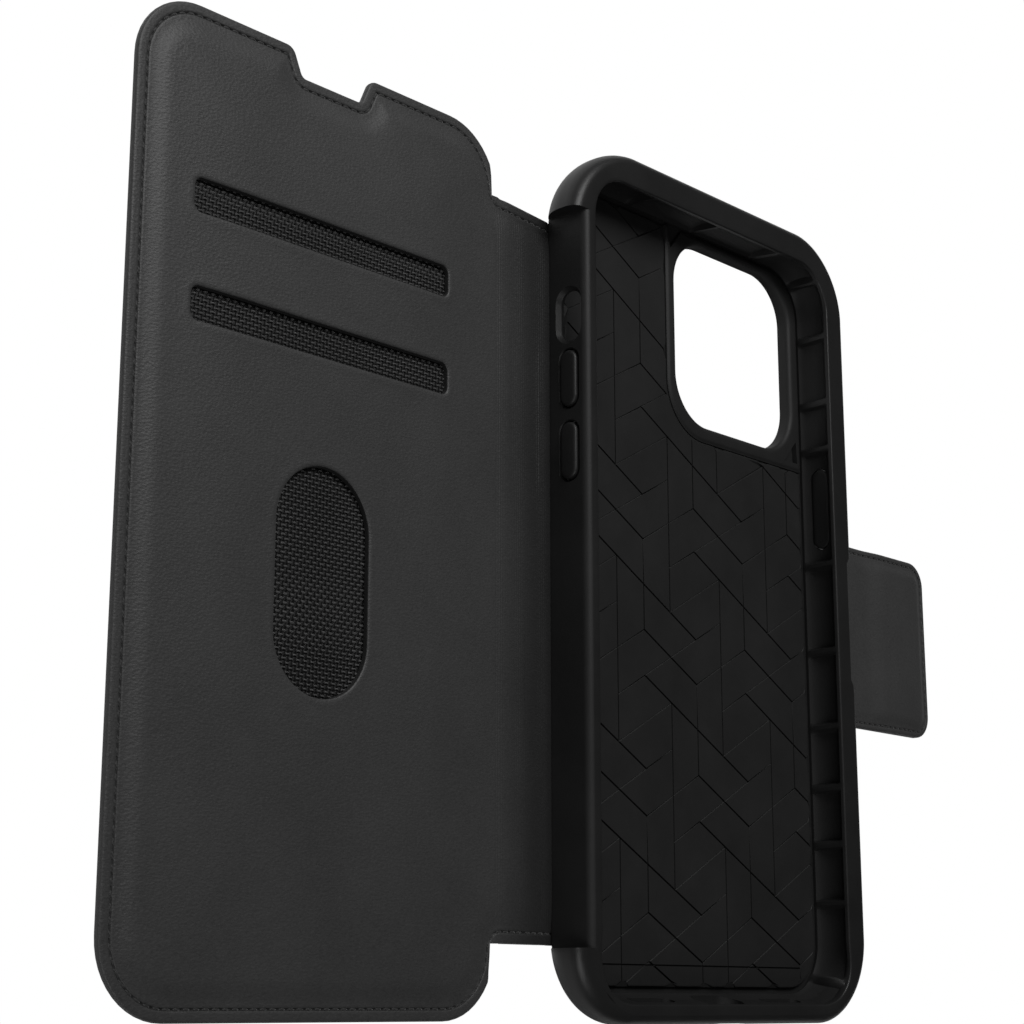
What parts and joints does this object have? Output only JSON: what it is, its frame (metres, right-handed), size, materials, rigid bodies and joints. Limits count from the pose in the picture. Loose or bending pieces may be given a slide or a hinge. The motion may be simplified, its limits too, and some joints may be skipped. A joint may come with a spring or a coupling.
{
  "type": "phone wallet case",
  "caption": "Folio phone case: rigid bumper tray, ribbed folding spine, padded leather cover with card slots and thumb window, and a magnetic latch tab.",
  "frame": {"origin": "middle of the tray's back face, on the surface that the open case lies on", "axes": "+Z out of the phone's screen, +X from the cover across the tray to the latch tab, +Y to the phone's top"},
  "size_m": [0.2395, 0.1736, 0.0113],
  "materials": {
    "bumper_plastic": "moulded satin-matt black",
    "liner_plastic": "moulded matt black with fine engraved lines",
    "button_plastic": "moulded matt black",
    "thread": "black waxed thread",
    "pocket_fabric": "dark grey basket weave",
    "board": "pressed fibre board",
    "foam": "thin closed-cell foam",
    "steel": "plated",
    "outer_leather": "fine-grained black synthetic leather",
    "inner_leather": "fine-grained black synthetic leather"
  },
  "bodies": {
    "tray": {"tray_frame": "bumper_plastic", "floor_panel": "liner_plastic", "camera_bezel": "liner_plastic", "back_skin": "outer_leather"},
    "volume_up": {"volume_up_button": "button_plastic"},
    "volume_down": {"volume_down_button": "button_plastic"},
    "power": {"power_button": "button_plastic"},
    "spine": {"spine_outer_skin": "outer_leather", "spine_core": "foam", "spine_inner_skin": "inner_leather", "spine_stitching": "thread"},
    "cover": {"cover_outer_skin": "outer_leather", "cover_board": "board", "pocket_back_lining": "pocket_fabric", "pocket_divider": "pocket_fabric", "cover_padding": "foam", "cover_inner_skin": "inner_leather", "cover_catch_plate": "steel", "cover_stitching": "thread"},
    "strap": {"strap_outer_skin": "outer_leather", "strap_inner_skin": "inner_leather"},
    "tab": {"tab_outer_skin": "outer_leather", "tab_board": "board", "tab_magnets": "steel", "tab_inner_skin": "inner_leather", "tab_stitching": "thread"}
  },
  "joints": [
    {"name": "spine_fold", "type": "hinge", "parent": "tray", "child": "spine", "pos_m": [-0.046, -0.001, 0.0009], "axis": [0, 1, 0], "range_deg": [0, 90]},
    {"name": "cover_fold", "type": "hinge", "parent": "spine", "child": "cover", "pos_m": [-0.0591, -0.001, 0.0016], "axis": [0, 1, 0], "range_deg": [0, 90]},
    {"name": "strap_fold", "type": "hinge", "parent": "tray", "child": "strap", "pos_m": [0.0486, -0.0006, 0.0007], "axis": [0, -1, 0], "range_deg": [0, 90]},
    {"name": "tab_fold", "type": "hinge", "parent": "strap", "child": "tab", "pos_m": [0.0655, -0.0006, 0.0009], "axis": [0, -1, 0], "range_deg": [0, 90]},
    {"name": "volume_up_press", "type": "slide", "parent": "tray", "child": "volume_up", "axis": [1, 0, 0], "range_m": [0, 0.0004], "stiffness_N_per_m": 1500},
    {"name": "volume_down_press", "type": "slide", "parent": "tray", "child": "volume_down", "axis": [1, 0, 0], "range_m": [0, 0.0004], "stiffness_N_per_m": 1500},
    {"name": "power_press", "type": "slide", "parent": "tray", "child": "power", "axis": [-1, 0, 0], "range_m": [0, 0.0004], "stiffness_N_per_m": 1500}
  ]
}
